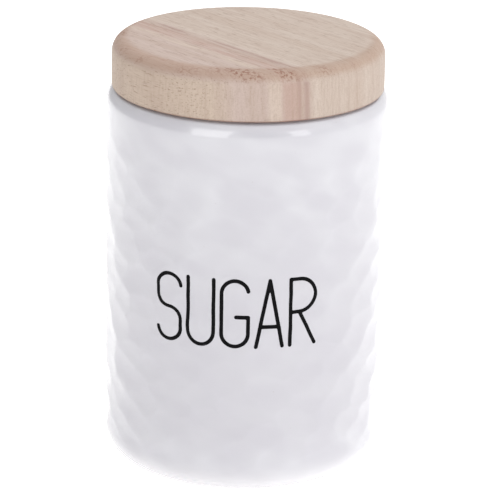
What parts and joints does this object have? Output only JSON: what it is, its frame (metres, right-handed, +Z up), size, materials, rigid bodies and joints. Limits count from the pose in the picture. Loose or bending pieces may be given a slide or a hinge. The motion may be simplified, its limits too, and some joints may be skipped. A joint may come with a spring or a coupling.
{
  "type": "sugar bowl",
  "caption": "Tall glazed stoneware sugar canister with a dimpled wall, a thick turned wooden plug lid and a finned silicone seal that lifts out with the lid.",
  "frame": {"origin": "centre of the foot ring's resting plane", "axes": "+Z up along the jar's axis; the printed name faces -Y"},
  "size_m": [0.1, 0.1, 0.1528],
  "materials": {
    "white_glaze": "clear gloss glaze over white stoneware, with a bare matt foot ring",
    "black_enamel": "black enamel fired onto the glaze, satin",
    "pale_wood": "fine sanded pale hardwood, no varnish",
    "clear_silicone": "milky translucent silicone, satin"
  },
  "bodies": {
    "jar": {"jar": "white_glaze", "label_print": "black_enamel"},
    "seal": {"lid_seal": "clear_silicone"},
    "lid": {"lid": "pale_wood"}
  },
  "joints": [
    {"name": "lid_lift", "type": "slide", "parent": "jar", "child": "seal", "axis": [0, 0, 1], "range_m": [0, 0.09]},
    {"name": "lid_turn", "type": "hinge", "parent": "seal", "child": "lid", "pos_m": [0, 0, 0.13], "axis": [0, 0, 1], "continuous": true}
  ]
}
